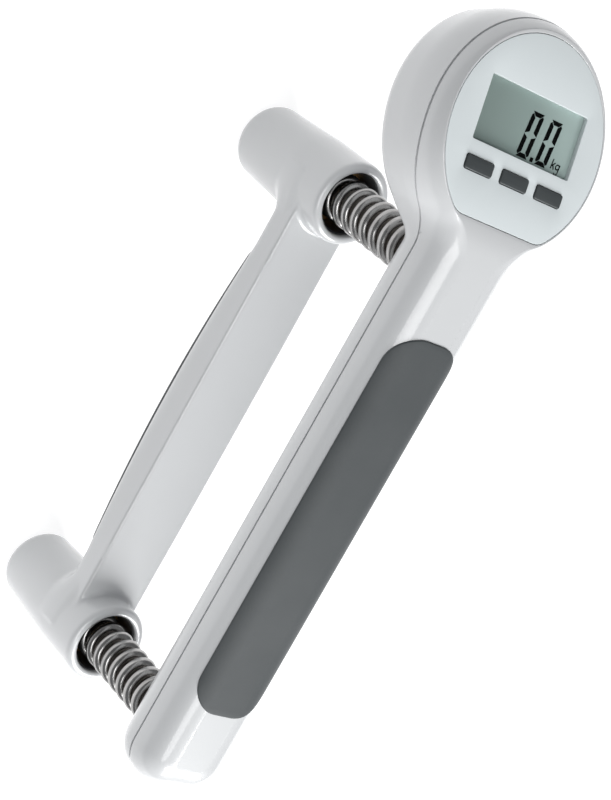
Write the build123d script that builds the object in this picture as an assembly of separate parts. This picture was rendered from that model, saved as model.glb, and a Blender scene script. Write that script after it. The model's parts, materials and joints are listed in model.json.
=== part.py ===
from build123d import *
import math
import os

os.makedirs("parts", exist_ok=True)

# Frame: +Z runs up through the springs to the display side, +Y runs along the grip
# towards the display head, +X is to the right when reading the display. The two
# spring sockets of the pull bar stand on z = 0. All sizes are in millimetres.

# ---- Driving dimensions -----------------------------------------------------------
GRIP_END = -106.8            # y of the grip's lower end
GRIP_HALF_WIDTH = 13.4
GRIP_HALF_DEPTH = 9.55
GRIP_CORNER = 8.5
GRIP_MID_Z = 84.9
GRIP_WALL = 2.4
GRIP_END_ROUNDING = 8.0

HEAD_Y = 80.36               # centre of the display face
HEAD_Z = 86.91
HEAD_TILT = 16.6             # degrees, the face leans towards the head's far end
HEAD_RADIUS = 30.0
HEAD_FACE_RADIUS = 26.5
HEAD_REAR_RADIUS = 29.4
HEAD_DEPTH = 21.9
HEAD_FRONT_ROUNDING = 11.6
HEAD_REAR_ROUNDING = 4.2
HEAD_WALL = 2.0

NECK_START_Y = 42.0
NECK_FILLET = 15.0           # concave side radius between the grip and the head
NECK_SINK = 0.2              # the neck lies this far under the flat faces it joins
NECK_STEP = 0.05             # the neck starts this much smaller than the grip all round

SEAM_BEND_Y = 66.0           # the seam is level along the grip, then follows the head
SEAM_END_Y = 112.0
SEAM_END_Z = 74.4

PLATE_RADIUS = 26.0
PLATE_OFFSET = -1.0
PLATE_CHORD = -22.65
PLATE_CORNER = 6.0
PLATE_THICKNESS = 1.2
FIT_GAP = 0.15

LCD_WIDTH = 34.6
LCD_HEIGHT = 16.1
LCD_OFFSET = 2.75

BUTTON_WIDTH = 9.4
BUTTON_HEIGHT = 3.5
BUTTON_PITCH = 12.5
BUTTON_ROW = -10.75
BUTTON_PROUD = 0.6
BUTTON_TRAVEL = 0.5
SWITCH_TOP = -4.3            # height of the switch plungers below the face

PAD_HALF_WIDTH = 10.9
PAD_TOP = 27.1
PAD_BOTTOM = -81.8
PAD_CORNER = 9.0
PAD_PROUD = 0.4
PAD_DEPTH = 1.2

SOCKET_Y = {"upper": 41.3, "lower": -93.5}
SOCKET_TOP = 43.3
SOCKET_MOUTH_RADIUS = 11.4
SOCKET_REAR_RADIUS = 10.2
SOCKET_REAR_ROUNDING = 3.0
SPRING_BORE = 8.74
SPRING_BORE_DEPTH = 12.0
CHAMBER_BORE = 6.0

BAR_HALF_WIDTH = 10.0
BAR_FACE_Z = 35.8
BAR_SIDE_Z = 28.8
BAR_CROWN = 7.8              # the bar's back bulges this far below its sides
BAR_PAD = 1.6
BAR_PAD_MID_Y = -27.5
BAR_PAD_HALF_LENGTH = 45.7
BAR_PAD_HALF_WIDTH = 8.8

TRAVEL = 14.0                # the grip closes this far towards the bar
ROD_RADIUS = 3.5
THREAD_RADIUS = 2.5
BUSH_RUNNING_GAP = 0.06
BUSH_LENGTH = 8.0
BUSH_FLANGE = 2.0
CAP_THICKNESS = 2.5
NUT_HEIGHT = 4.0
STOP_GAP = 0.1               # slack between the stop washers and the bushes at rest

WIRE_RADIUS = 1.3
SPRING_RADIUS = 6.47
SPRING_TURNS = 10.0

BEAM_Z = 78.3                # underside of the load beam inside the grip
BEAM_THICKNESS = 5.0
BEAM_HALF_WIDTH = 7.0

CELL_RADIUS = 5.25           # AAA cell
CELL_LENGTH = 44.5
CELL_DEPTH = -14.7
TRAY_DEPTH = -19.0
DOOR_THICKNESS = 1.6

LEAD_RADIUS = 0.8

# ---- Working frames ---------------------------------------------------------------
TILT = math.radians(HEAD_TILT)
FACE = Plane(
    origin=(0, HEAD_Y, HEAD_Z),
    x_dir=(1, 0, 0),
    z_dir=(0, math.sin(TILT), math.cos(TILT)),
).location
SPRING_SEAT_Z = SOCKET_TOP - SPRING_BORE_DEPTH
BUSH_TOP = SPRING_SEAT_Z + BUSH_FLANGE
STOP_Z = SPRING_SEAT_Z - BUSH_LENGTH - STOP_GAP
ROD_END_Z = CAP_THICKNESS + TRAVEL + 0.8
COVER_SCREWS_GRIP = (20.0, -75.0)
COVER_SCREWS_HEAD = (20.5, -20.0)
HEAD_BOSS_MEET = -9.0
BOSS_RADIUS = 3.3


def block(x0, x1, y0, y1, z0, z1):
    """A box between two opposite corners."""
    middle = Pos((x0 + x1) / 2, (y0 + y1) / 2, (z0 + z1) / 2)
    return middle * Box(x1 - x0, y1 - y0, z1 - z0)


def rod(radius, z0, z1, x=0.0, y=0.0):
    """A vertical cylinder from z0 to z1."""
    return Pos(x, y, (z0 + z1) / 2) * Cylinder(radius, z1 - z0)


def slab(sketch, z0, z1):
    """A sketch in the XY plane made into a plate from z0 to z1."""
    return Pos(0, 0, z0) * extrude(sketch, amount=z1 - z0)


def rounded_block(width, height, corner, z0, z1, x=0.0, y=0.0):
    return Pos(x, y, 0) * slab(RectangleRounded(width, height, corner), z0, z1)


def on_face(shape):
    """Move a shape made in the display's own frame (x, up, out) onto the head."""
    return FACE * shape


def save(name, *solids):
    """Write one node. Several solids make a group."""
    shape = solids[0] if len(solids) == 1 else Compound(children=list(solids))
    shape.label = name
    export_step(shape, f"parts/{name}.step")


# ---- Casing of the main grip and display head -------------------------------------
def grip_section(inset, y):
    plane = Plane(origin=(0, y, GRIP_MID_Z), x_dir=(1, 0, 0), z_dir=(0, 1, 0))
    width = 2 * (GRIP_HALF_WIDTH - inset)
    depth = 2 * (GRIP_HALF_DEPTH - inset)
    return plane * RectangleRounded(width, depth, GRIP_CORNER - inset)


def grip_solid(inset):
    start = GRIP_END + inset
    body = extrude(grip_section(inset, start), amount=NECK_START_Y - start)
    end_edges = body.faces().sort_by(Axis.Y)[0].edges()
    return fillet(end_edges, GRIP_END_ROUNDING - inset)


def head_solid(inset):
    """The round head: a turned disc with a large front rounding."""
    face_r = HEAD_FACE_RADIUS - inset / 2
    wide_r = HEAD_RADIUS - inset
    rear_r = HEAD_REAR_RADIUS - inset
    corner = HEAD_REAR_ROUNDING - inset / 2
    top = -inset
    shoulder = -HEAD_FRONT_ROUNDING
    bottom = -HEAD_DEPTH + inset
    face_pull = 0.1
    shoulder_pull = 0.6
    edges = [
        Line((0, 0, bottom), (0, 0, top)),
        Line((0, 0, top), (face_r, 0, top)),
        Bezier(
            (face_r, 0, top),
            (face_r + face_pull * (wide_r - face_r), 0, top),
            (wide_r, 0, shoulder + shoulder_pull * (top - shoulder)),
            (wide_r, 0, shoulder),
        ),
        Line((wide_r, 0, shoulder), (rear_r, 0, bottom + corner)),
        ThreePointArc(
            (rear_r, 0, bottom + corner),
            (rear_r - corner * (1 - math.sqrt(0.5)), 0, bottom + corner * (1 - math.sqrt(0.5))),
            (rear_r - corner, 0, bottom),
        ),
        Line((rear_r - corner, 0, bottom), (0, 0, bottom)),
    ]
    return on_face(revolve(make_face(edges), Axis.Z))


def neck_section(inset, up, half_width, corner):
    grip_front = GRIP_MID_Z + GRIP_HALF_DEPTH
    under_grip = (grip_front - HEAD_Z + up * math.sin(TILT)) / math.cos(TILT)
    top = min(0.0, under_grip) - NECK_SINK - inset
    bottom = -HEAD_DEPTH + NECK_SINK + inset
    plane = Plane(origin=(0, up, (top + bottom) / 2), x_dir=(1, 0, 0), z_dir=(0, 1, 0))
    return on_face(plane * RectangleRounded(2 * (half_width - inset), top - bottom, corner - inset))


def neck_solid(inset):
    """The neck widens along a concave arc that touches the grip's side and the head."""
    centre_x = GRIP_HALF_WIDTH + NECK_FILLET
    centre_up = -math.sqrt((HEAD_RADIUS + NECK_FILLET) ** 2 - centre_x ** 2)
    sections = [grip_section(inset + NECK_STEP, NECK_START_Y)]
    for rise, corner in ((5.0, 8.2), (9.0, 7.4), (11.6, 6.8)):
        half = centre_x - math.sqrt(NECK_FILLET ** 2 - rise ** 2)
        sections.append(neck_section(inset, centre_up + rise, half, corner))
    sections.append(neck_section(inset, -17.0, 21.5, 6.5))
    return loft(sections)


def casing(grip_inset, head_inset):
    return grip_solid(grip_inset) + neck_solid(grip_inset) + head_solid(head_inset)


def above_seam():
    outline = make_face(Polyline(
        (0, GRIP_END - 10, GRIP_MID_Z),
        (0, SEAM_BEND_Y, GRIP_MID_Z),
        (0, SEAM_END_Y, SEAM_END_Z),
        (0, SEAM_END_Y, 130),
        (0, GRIP_END - 10, 130),
        close=True,
    ))
    return extrude(outline, amount=50, both=True, dir=(1, 0, 0))


def plate_outline(gap):
    disc = Pos(0, PLATE_OFFSET, 0) * Circle(PLATE_RADIUS + gap)
    keep = Pos(0, PLATE_CHORD - gap + 40, 0) * Rectangle(100, 80)
    shape = disc & keep
    corners = shape.vertices().sort_by(Axis.Y)[:2]
    return fillet(corners, PLATE_CORNER)


def pad_outline(gap):
    length = PAD_TOP - PAD_BOTTOM + 2 * gap
    middle = Pos(0, (PAD_TOP + PAD_BOTTOM) / 2)
    return middle * RectangleRounded(2 * (PAD_HALF_WIDTH + gap), length, PAD_CORNER + gap)


def front_cover(shell, upper):
    floor = on_face(slab(plate_outline(0.5), -3.0, -1.3))
    body = (shell + floor) & upper
    recess = on_face(slab(plate_outline(FIT_GAP), -PLATE_THICKNESS - 0.05, 3.0))
    opening = on_face(block(-20.3, 20.3, -13.6, 13.95, -5.0, 1.0))
    pad_recess = slab(pad_outline(FIT_GAP), 80.0, 100.0) - grip_solid(PAD_DEPTH + 0.1)
    body = body - recess - opening - pad_recess
    inner_top = GRIP_MID_Z + GRIP_HALF_DEPTH - GRIP_WALL
    for y in COVER_SCREWS_GRIP:
        body = body + rod(BOSS_RADIUS, GRIP_MID_Z, inner_top + 0.5, 0, y) - rod(1.25, 84, 90.5, 0, y)
    for up in COVER_SCREWS_HEAD:
        body = body + on_face(rod(BOSS_RADIUS, HEAD_BOSS_MEET, -2.0, 0, up))
        body = body - on_face(rod(1.25, HEAD_BOSS_MEET - 1, -3.4, 0, up))
    cell_seat = block(-6, 6, -17, -7, 90.6, inner_top + 0.4)
    body = body + cell_seat
    for y in (-14.5, -9.5):
        body = body - rod(1.25, 90.0, 92.6, 0, y)
    return body


def rear_cover(shell, upper):
    body = shell - upper
    inner_bottom = GRIP_MID_Z - GRIP_HALF_DEPTH + GRIP_WALL
    for y in SOCKET_Y.values():
        body = body - rod(7.4, 70, 80, 0, y)
    door_gap = 0.25
    body = body - on_face(rounded_block(46.4 + 2 * door_gap, 23.2 + 2 * door_gap, 4.2, -24, -18))
    for y in COVER_SCREWS_GRIP:
        body = body + rod(BOSS_RADIUS, inner_bottom - 0.5, GRIP_MID_Z, 0, y)
        body = body - rod(1.45, 70, 90, 0, y) - rod(2.5, 70, 79.0, 0, y)
    for up in COVER_SCREWS_HEAD:
        body = body + on_face(rod(BOSS_RADIUS, -HEAD_DEPTH + 1.4, HEAD_BOSS_MEET, 0, up))
        body = body - on_face(rod(1.45, -24, -5, 0, up)) - on_face(rod(2.5, -24, -16, 0, up))
    return body


def front_pad():
    skin = grip_solid(-PAD_PROUD) - grip_solid(PAD_DEPTH)
    return skin & slab(pad_outline(0), 86.0, 100.0)


def face_plate():
    plate = slab(plate_outline(0), -PLATE_THICKNESS, 0)
    plate = plate - Pos(0, LCD_OFFSET, 0) * Box(LCD_WIDTH, LCD_HEIGHT, 6)
    for x in (-BUTTON_PITCH, 0, BUTTON_PITCH):
        gap = 0.15
        hole = RectangleRounded(BUTTON_WIDTH + 2 * gap, BUTTON_HEIGHT + 2 * gap, 1.2)
        plate = plate - Pos(x, BUTTON_ROW, 0) * slab(hole, -3, 3)
    return on_face(plate)


def button(x):
    cap = rounded_block(BUTTON_WIDTH, BUTTON_HEIGHT, 1.05, -2.6, BUTTON_PROUD, x, BUTTON_ROW)
    cap = fillet(cap.faces().sort_by(Axis.Z)[-1].edges(), 0.4)
    flange = rounded_block(BUTTON_WIDTH + 1.4, BUTTON_HEIGHT + 1.2, 1.5, -2.6, -1.4, x, BUTTON_ROW)
    foot = rod(1.2, SWITCH_TOP + 0.1 + BUTTON_TRAVEL, -2.6, x, BUTTON_ROW)
    return on_face(cap + flange + foot)


# ---- Display stack and electronics in the head ------------------------------------
def display_frame():
    middle = Pos(0, LCD_OFFSET, 0)
    frame = block(-19.8, 19.8, -10.9, 10.9, -6.2, -1.3)
    panel_pocket = block(-18.4, 18.4, -9.5, 9.5, -3.35, 0)
    opening = block(-16.9, 16.9, -9.1, 9.1, -7, 0)
    return on_face(middle * (frame - panel_pocket - opening))


def display_window():
    """The clear lens fills the plate's opening, a little below its surface."""
    half_width = LCD_WIDTH / 2 - 0.1
    half_height = LCD_HEIGHT / 2 - 0.1
    lens = block(-half_width, half_width, -half_height, half_height, -1.0, -0.25)
    return on_face(Pos(0, LCD_OFFSET, 0) * lens)


def display_panel():
    return on_face(Pos(0, LCD_OFFSET, 0) * block(-18.2, 18.2, -9.3, 9.3, -3.25, -1.3))


def contact_strips():
    strips = [block(-16, 16, LCD_OFFSET + y - 0.8, LCD_OFFSET + y + 0.8, -6.2, -3.35) for y in (-8.2, 8.2)]
    return [on_face(strip) for strip in strips]


def circuit_board():
    board = slab(Circle(26.2) & Rectangle(60, 46), -7.6, -6.3)
    for up in COVER_SCREWS_HEAD:
        board = board - rod(BOSS_RADIUS + 0.3, -9, -5, 0, up)
    for x in (-22.5, 22.5):
        board = board - rod(0.9, -9, -5, x, 0)
    return on_face(board)


def board_screws():
    screws = []
    for x in (-22.5, 22.5):
        screws.append(on_face(rod(0.8, -7.6, -6.3, x, 0) + rod(1.6, -6.3, -5.3, x, 0)))
    return screws


def tact_switches():
    switches = []
    for x in (-BUTTON_PITCH, 0, BUTTON_PITCH):
        body = block(x - 3, x + 3, BUTTON_ROW - 2, BUTTON_ROW + 2, -6.3, -4.8)
        switches.append(on_face(body + rod(1.0, -4.8, SWITCH_TOP, x, BUTTON_ROW)))
    return switches


def battery_tray():
    outer = rounded_block(49.0, 23.6, 3.2, TRAY_DEPTH, -7.75)
    inner = rounded_block(47.2, 21.8, 2.4, TRAY_DEPTH - 1, -8.55)
    return on_face(outer - inner)


def battery_cell(up, direction):
    """One AAA cell lying across the head, its button end towards direction."""
    can = Cylinder(CELL_RADIUS, CELL_LENGTH - 1.0)
    can = fillet(can.edges(), 0.5)
    nub = Pos(0, 0, CELL_LENGTH / 2 - 0.5) * Cylinder(1.9, 1.0)
    cell = (Pos(0, 0, -0.5) * can) + nub
    return on_face(Pos(0, up, CELL_DEPTH) * Rot(0, 90 * direction, 0) * cell)


def battery_contacts():
    """Four stamped contact plates, one at each end of each cell."""
    plates = []
    for x in (-23.1, 23.1):
        for up in (-5.4, 5.4):
            plate = block(x - 0.3, x + 0.3, up - 3.8, up + 3.8, CELL_DEPTH - 3.8, CELL_DEPTH + 3.8)
            plates.append(on_face(plate))
    return plates


def battery_door():
    door = rounded_block(46.4, 23.2, 4.0, -HEAD_DEPTH, -HEAD_DEPTH + DOOR_THICKNESS)
    for x in (-3.0, -1.5, 0, 1.5, 3.0):
        door = door - block(x - 0.3, x + 0.3, 7.0, 10.0, -HEAD_DEPTH - 1, -HEAD_DEPTH + 0.4)
    return on_face(door)


# ---- Load path inside the grip ----------------------------------------------------
def load_beam():
    beam = block(-BEAM_HALF_WIDTH, BEAM_HALF_WIDTH, -99.3, 48.0, BEAM_Z, BEAM_Z + BEAM_THICKNESS)
    for y in SOCKET_Y.values():
        beam = beam - rod(THREAD_RADIUS + 0.05, 70, 90, 0, y)
    for y in COVER_SCREWS_GRIP:
        beam = beam - rod(BOSS_RADIUS + 0.4, 70, 90, 0, y)
    for y in (-50.5, -45.5):
        beam = beam - rod(1.6, 70, 90, 0, y) - rod(2.6, 70, 80.0, 0, y)
    for y in (-14.5, -9.5):
        beam = beam - rod(2.6, 70, 90, 0, y)
    return beam


def load_cell():
    """An aluminium bending beam: two joined bores leave thin flexures above and below."""
    top = BEAM_Z + BEAM_THICKNESS
    body = block(-5.5, 5.5, -54, -6, top + 0.7, 89.9)
    body = body + block(-5.5, 5.5, -54, -42, top, 84.5) + block(-5.5, 5.5, -18, -6, 89, 90.6)
    for y in (-34.5, -25.5):
        body = body - Pos(0, y, 87.0) * Rot(0, 90, 0) * Cylinder(2.3, 20)
    body = body - block(-10, 10, -34.5, -25.5, 86.5, 87.5)
    for y in (-50.5, -45.5):
        body = body - rod(1.25, top - 1, 88, 0, y)
    for y in (-14.5, -9.5):
        body = body - rod(1.45, 80, 92, 0, y)
        body = body - rod(2.4, 80, 86.0, 0, y)
    return body


def load_cell_screws():
    screws = []
    for y in (-50.5, -45.5):
        screws.append(rod(2.4, BEAM_Z + 0.2, 80.0, 0, y) + rod(1.2, 80.0, 87.0, 0, y))
    for y in (-14.5, -9.5):
        screws.append(rod(2.2, 84.4, 86.0, 0, y) + rod(1.2, 86.0, 92.3, 0, y))
    return screws


def guide_rod(y):
    """Shouldered rod: a plain shank through the spring and a thread at each end."""
    shank = rod(ROD_RADIUS, STOP_Z, BEAM_Z - 1.0, 0, y)
    upper_thread = rod(THREAD_RADIUS, BEAM_Z - 1.0, BEAM_Z + BEAM_THICKNESS + 5.0, 0, y)
    lower_thread = rod(THREAD_RADIUS, ROD_END_Z, STOP_Z, 0, y)
    return shank + upper_thread + lower_thread


def hex_nut(y, z0):
    """An M5 nut, 8 mm across its flats."""
    nut = slab(RegularPolygon(4.0, 6, major_radius=False), z0, z0 + NUT_HEIGHT)
    return (Pos(0, y, 0) * nut) - rod(THREAD_RADIUS, z0 - 1, z0 + NUT_HEIGHT + 1, 0, y)


def washer(y, z0, outer, thickness):
    ring = rod(outer, z0, z0 + thickness, 0, y)
    return ring - rod(THREAD_RADIUS, z0 - 1, z0 + thickness + 1, 0, y)


def spring(y):
    """Chrome compression spring between the socket's bush and the seat under the beam."""
    low = BUSH_TOP + WIRE_RADIUS + 0.05
    high = BEAM_Z - 1.0 - WIRE_RADIUS - 0.05
    coil_radius = SPRING_RADIUS - WIRE_RADIUS
    pitch = (high - low) / SPRING_TURNS
    path = Helix(pitch=pitch, height=high - low, radius=coil_radius)
    start = Plane(origin=path @ 0, z_dir=path % 0)
    coil = sweep(start * Circle(WIRE_RADIUS), path=path, is_frenet=True)
    return Pos(0, y, low) * coil


def bend_radii(points):
    """The largest tangent arcs that the runs on both sides of each corner leave room for."""
    radii = []
    for before, corner, after in zip(points, points[1:], points[2:]):
        inward = Vector(*corner) - Vector(*before)
        outward = Vector(*after) - Vector(*corner)
        turn = math.radians(inward.get_angle(outward))
        radii.append(0.45 * min(inward.length, outward.length) / math.tan(turn / 2))
    return radii


def load_cell_lead():
    """The cell's lead runs along the side of the grip and up to the circuit board."""
    points = [
        (6.5, -10.0, 88.2),
        (8.8, -4.0, 88.3),
        (9.3, 6.0, 88.6),
        (9.1, 20.0, 88.7),
        (9.4, 34.0, 88.2),
        (8.6, 47.0, 87.0),
        (7.4, 57.4, 84.5),
    ]
    radii = bend_radii(points)
    print("lead radii", [round(r, 1) for r in radii])
    route = FilletPolyline(*points, radius=radii)
    start = Plane(origin=route @ 0, z_dir=route % 0)
    return sweep(start * Circle(LEAD_RADIUS), path=route)


# ---- The pull bar with its two spring sockets -------------------------------------
def socket_tube(y):
    shape = make_face([
        Line((0, 0, 0), (SOCKET_REAR_RADIUS, 0, 0)),
        Line((SOCKET_REAR_RADIUS, 0, 0), (SOCKET_MOUTH_RADIUS, 0, 26)),
        Line((SOCKET_MOUTH_RADIUS, 0, 26), (SOCKET_MOUTH_RADIUS, 0, SOCKET_TOP)),
        Line((SOCKET_MOUTH_RADIUS, 0, SOCKET_TOP), (0, 0, SOCKET_TOP)),
        Line((0, 0, SOCKET_TOP), (0, 0, 0)),
    ])
    tube = revolve(shape, Axis.Z)
    rim = tube.edges().filter_by(GeomType.CIRCLE).sort_by(Axis.Z)
    tube = fillet(rim[0], SOCKET_REAR_ROUNDING)
    top = tube.edges().filter_by(GeomType.CIRCLE).sort_by(Axis.Z)[-1]
    return Pos(0, y, 0) * fillet(top, 1.0)


def bar_section(inset):
    """Flat on the spring side, crowned on the finger side."""
    half = BAR_HALF_WIDTH
    side = BAR_SIDE_Z
    crown = BAR_SIDE_Z - BAR_CROWN + inset
    return make_face([
        Line((-half, 0, BAR_FACE_Z), (half, 0, BAR_FACE_Z)),
        Line((half, 0, BAR_FACE_Z), (half, 0, side)),
        ThreePointArc((half, 0, side), (0, 0, crown), (-half, 0, side)),
        Line((-half, 0, side), (-half, 0, BAR_FACE_Z)),
    ])


def bar_prism(inset, y0, y1):
    return Pos(0, y0, 0) * extrude(bar_section(inset), amount=y1 - y0, dir=(0, 1, 0))


def bar_pad_outline(gap):
    length = 2 * (BAR_PAD_HALF_LENGTH + gap)
    width = 2 * (BAR_PAD_HALF_WIDTH + gap)
    return Pos(0, BAR_PAD_MID_Y) * RectangleRounded(width, length, 3.0)


def bar_frame():
    body = bar_prism(0, SOCKET_Y["lower"], SOCKET_Y["upper"])
    for y in SOCKET_Y.values():
        body = body + socket_tube(y)
    for y in SOCKET_Y.values():
        body = body - rod(SPRING_BORE, SPRING_SEAT_Z, SOCKET_TOP + 5, 0, y)
        body = body - rod(CHAMBER_BORE, -1, SPRING_SEAT_Z + 1, 0, y)
    pad_pocket = slab(bar_pad_outline(FIT_GAP), 15, BAR_SIDE_Z + 1) - bar_prism(BAR_PAD, -80, 30)
    return body - pad_pocket


def bar_pad():
    y0 = BAR_PAD_MID_Y - 60
    y1 = BAR_PAD_MID_Y + 60
    skin = bar_prism(-PAD_PROUD, y0, y1) - bar_prism(BAR_PAD - 0.05, y0 - 1, y1 + 1)
    return skin & slab(bar_pad_outline(0), 15, BAR_SIDE_Z)


def guide_bush(y):
    body = rod(CHAMBER_BORE - 0.03, SPRING_SEAT_Z - BUSH_LENGTH, SPRING_SEAT_Z, 0, y)
    flange = rod(SPRING_BORE - 0.1, SPRING_SEAT_Z, BUSH_TOP, 0, y)
    return body + flange - rod(ROD_RADIUS + BUSH_RUNNING_GAP, 10, 40, 0, y)


def socket_cap(y):
    """Round plug that closes the socket's rear and takes the object's weight."""
    return rod(CHAMBER_BORE - 0.05, 0, CAP_THICKNESS, 0, y)


# ---- Write every node -------------------------------------------------------------
upper_half = above_seam()
casing_shell = casing(0, 0) - casing(GRIP_WALL, HEAD_WALL)

save("front_cover", front_cover(casing_shell, upper_half))
save("rear_cover", rear_cover(casing_shell, upper_half))
save("front_grip_pad", front_pad())
save("face_plate", face_plate())
for label, x in (("left", -BUTTON_PITCH), ("middle", 0), ("right", BUTTON_PITCH)):
    save(f"button_{label}", button(x))
save("display_frame", display_frame())
save("display_window", display_window())
save("display_panel", display_panel())
save("display_contact_strips", *contact_strips())
save("circuit_board", circuit_board())
save("board_screws", *board_screws())
save("tact_switches", *tact_switches())
save("battery_tray", battery_tray())
save("battery_cell_top", battery_cell(5.4, 1))
save("battery_cell_bottom", battery_cell(-5.4, -1))
save("battery_contacts", *battery_contacts())
save("battery_door", battery_door())
save("load_beam", load_beam())
save("load_cell", load_cell())
save("load_cell_screws", *load_cell_screws())
save("load_cell_lead", load_cell_lead())

cover_screws = []
for y in COVER_SCREWS_GRIP:
    cover_screws.append(rod(2.3, 77.3, 79.0, 0, y) + rod(1.2, 79.0, 90.0, 0, y))
for up in COVER_SCREWS_HEAD:
    cover_screws.append(on_face(rod(2.3, -17.7, -16.0, 0, up) + rod(1.2, -16.0, -4.0, 0, up)))
save("cover_screws", *cover_screws)

for end, y in SOCKET_Y.items():
    save(f"spring_{end}", spring(y))
    save(f"guide_rod_{end}", guide_rod(y))
    save(f"guide_bush_{end}", guide_bush(y))
    save(f"socket_cap_{end}", socket_cap(y))
    save(f"spring_seat_{end}", washer(y, BEAM_Z - 1.0, 6.9, 1.0))

both = list(SOCKET_Y.values())
save("rod_nuts", *[hex_nut(y, BEAM_Z + BEAM_THICKNESS) for y in both])
save("stop_washers", *[washer(y, STOP_Z - 1.0, 5.3, 1.0) for y in both])
save("stop_nuts", *[hex_nut(y, STOP_Z - 1.0 - NUT_HEIGHT) for y in both])

save("bar_frame", bar_frame())
save("bar_pad", bar_pad())
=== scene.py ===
"""Looks of the hand dynamometer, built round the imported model.

Shapes are worked out in millimetres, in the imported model's frame: +Z up through the
springs, +Y along the grip towards the head, +X to the right when reading the display.
"""

import json
import math

import bmesh
import bpy
import numpy as np
from mathutils import Matrix, Vector
from mathutils.geometry import delaunay_2d_cdt


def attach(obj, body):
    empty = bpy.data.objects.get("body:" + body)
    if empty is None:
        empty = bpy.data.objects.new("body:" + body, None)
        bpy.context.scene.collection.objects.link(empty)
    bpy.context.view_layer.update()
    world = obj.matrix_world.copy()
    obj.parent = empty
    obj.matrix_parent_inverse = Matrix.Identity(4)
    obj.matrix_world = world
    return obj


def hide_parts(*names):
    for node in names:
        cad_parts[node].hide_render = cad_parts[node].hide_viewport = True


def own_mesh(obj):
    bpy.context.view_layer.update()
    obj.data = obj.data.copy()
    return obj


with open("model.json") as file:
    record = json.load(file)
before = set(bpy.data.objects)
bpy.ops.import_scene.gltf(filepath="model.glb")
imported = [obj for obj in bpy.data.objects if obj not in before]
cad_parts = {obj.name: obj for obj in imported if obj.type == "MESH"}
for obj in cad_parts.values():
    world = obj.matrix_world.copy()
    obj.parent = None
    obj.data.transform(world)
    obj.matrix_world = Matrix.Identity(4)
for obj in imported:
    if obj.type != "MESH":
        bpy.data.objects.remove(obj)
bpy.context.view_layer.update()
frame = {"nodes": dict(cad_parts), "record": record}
nodes = frame["nodes"]
MM = 0.001

# ---- Sizes of the real object, in millimetres --------------------------------------
GRIP_END = -106.8            # y of the grip's lower end
GRIP_HALF_WIDTH = 13.4
GRIP_DEPTH = 19.1
GRIP_ROUNDING = 8.5          # long edges, front and rear
GRIP_PLAN_CORNER = 9.7       # corners at the end, seen from the front
FRONT_Z = 94.45              # front of the grip
WALL = 2.0

HEAD_Y = 80.36               # centre of the display face
HEAD_Z = 86.91
HEAD_TILT = math.radians(16.6)
HEAD_RADIUS = 30.0
HEAD_DEPTH = 21.9
HEAD_FRONT_INSET = 4.0       # the front rounding is wide down the side, narrow on the face
HEAD_FRONT_DROP = 11.6
HEAD_FACE_PULL = 0.1         # the front rounding starts steeply at the face
HEAD_SIDE_PULL = 0.7
ROUND = 0.5523               # pull that gives a quarter circle
HEAD_REAR_ROUNDING = 4.2
HEAD_TAPER = 0.6
NECK_FILLET = 15.0
BEND_RADIUS = 21.0           # the front line turns from the grip into the tilted face

SEAM_Z = 84.9
SEAM_BEND_Y = 70.0
SEAM_SLOPE = 0.25
SEAM_EASE = 5.0
SEAM_GAP = 0.12              # each half stands this far back from the parting line
SEAM_EDGE = 0.2
OPENING_EDGE = 0.15          # rounding round the covers' openings

PLATE_RADIUS = 26.0
PLATE_OFFSET = -1.0
PLATE_CHORD = -22.65
PLATE_CORNER = 6.0
PLATE_THICKNESS = 1.2
PLATE_GAP = 0.15
WINDOW_WIDTH = 34.6
WINDOW_HEIGHT = 16.1
WINDOW_UP = 2.75

BUTTON_WIDTH = 9.4
BUTTON_HEIGHT = 3.5
BUTTON_PITCH = 12.5
BUTTON_ROW = -10.75
BUTTON_PROUD = 0.6
BUTTON_EDGE = 0.35
BUTTON_CROWN = 0.1
FLANGE_WIDTH = 0.6           # round each button, behind the plate
FLANGE_TOP = -1.4
FLANGE_BASE = -2.6

PAD_HALF_WIDTH = 10.9
PAD_TOP = 27.1
PAD_BOTTOM = -81.8
PAD_CORNER = 9.0
PAD_PROUD = 0.4
PAD_DEPTH = 0.8

SOCKETS = {"upper": 41.3, "lower": -93.5}
SOCKET_TOP = 43.3
MOUTH_RADIUS = 11.4
REAR_RADIUS = 10.2
TAPER_TOP = 26.0
SPRING_BORE = 8.74
SPRING_SEAT_Z = 31.3
CHAMBER_BORE = 6.0
SPRING_HOLE = 7.4            # holes in the rear cover for the springs
SPRING_HOLE_SPAN = (70, 80)

DOOR_WIDTH = 46.4            # battery door
DOOR_HEIGHT = 23.2
DOOR_CORNER = 4.0
DOOR_GAP = 0.25
DOOR_THICKNESS = 1.6
SCREW_HOLE = 2.5
GRIP_SCREWS = (20.0, -75.0)  # along the grip
HEAD_SCREWS = (20.5, -20.0)  # from the head's middle

BAR_HALF_WIDTH = 10.0
BAR_FACE_Z = 35.8
BELLY_HALF_WIDTH = 10.2
BELLY_Z = 30.0               # the finger side is half an ellipse below this height
BELLY_DEPTH = 9.9            # at its deepest, getting shallower towards both sockets
BELLY_BOW = 0.0024
BELLY_LEAST = 4.5

BAR_PAD_Y = -27.5
BAR_PAD_HALF_LENGTH = 45.7
BAR_PAD_HALF_WIDTH = 8.8
BAR_PAD_CORNER = 3.0
BAR_PAD_DEPTH = 0.8

SPRING_LOW = 33.35
SPRING_HIGH = 77.25
SPRING_OUTER = 6.47
WIRE_RADIUS = 1.4
SPRING_TURNS = 10.5


# ---- Flat outlines -----------------------------------------------------------------
def arc(x, y, radius, start, end, steps):
    angle = np.radians(np.linspace(start, end, steps))
    return np.stack([x + radius * np.cos(angle), y + radius * np.sin(angle)], 1)


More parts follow.
